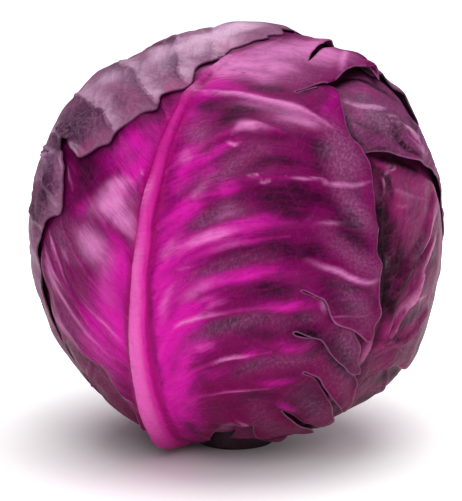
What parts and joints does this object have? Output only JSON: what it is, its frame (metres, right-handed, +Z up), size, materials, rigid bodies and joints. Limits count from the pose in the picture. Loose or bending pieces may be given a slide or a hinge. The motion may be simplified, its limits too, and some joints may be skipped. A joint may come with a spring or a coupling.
{
  "type": "red cabbage",
  "caption": "Round red cabbage head with overlapping, veined wrapper leaves, resting on the cut face of its stem.",
  "frame": {"origin": "centre of the flat cut face of the stem, which the head rests on", "axes": "+Z up through the head to the crown, -Y the front, where the large magenta leaf faces, +X to the right of the front"},
  "size_m": [0.1605, 0.1619, 0.1632],
  "materials": {
    "stem_flesh": "cut stalk, moist and fibrous",
    "heart_leaf": "satin leaf",
    "dark_leaf": "satin leaf with a thin waxy bloom",
    "magenta_leaf": "smooth satin leaf with pale veins",
    "mauve_leaf": "dull leaf with a grey waxy bloom"
  },
  "bodies": {
    "root": {"stem": "stem_flesh", "heart": "heart_leaf", "low_left_leaf": "dark_leaf", "low_right_leaf": "dark_leaf", "right_leaf": "dark_leaf", "shoulder_leaf": "mauve_leaf", "back_leaf": "mauve_leaf", "front_leaf": "magenta_leaf", "top_leaf": "mauve_leaf"}
  },
  "joints": []
}
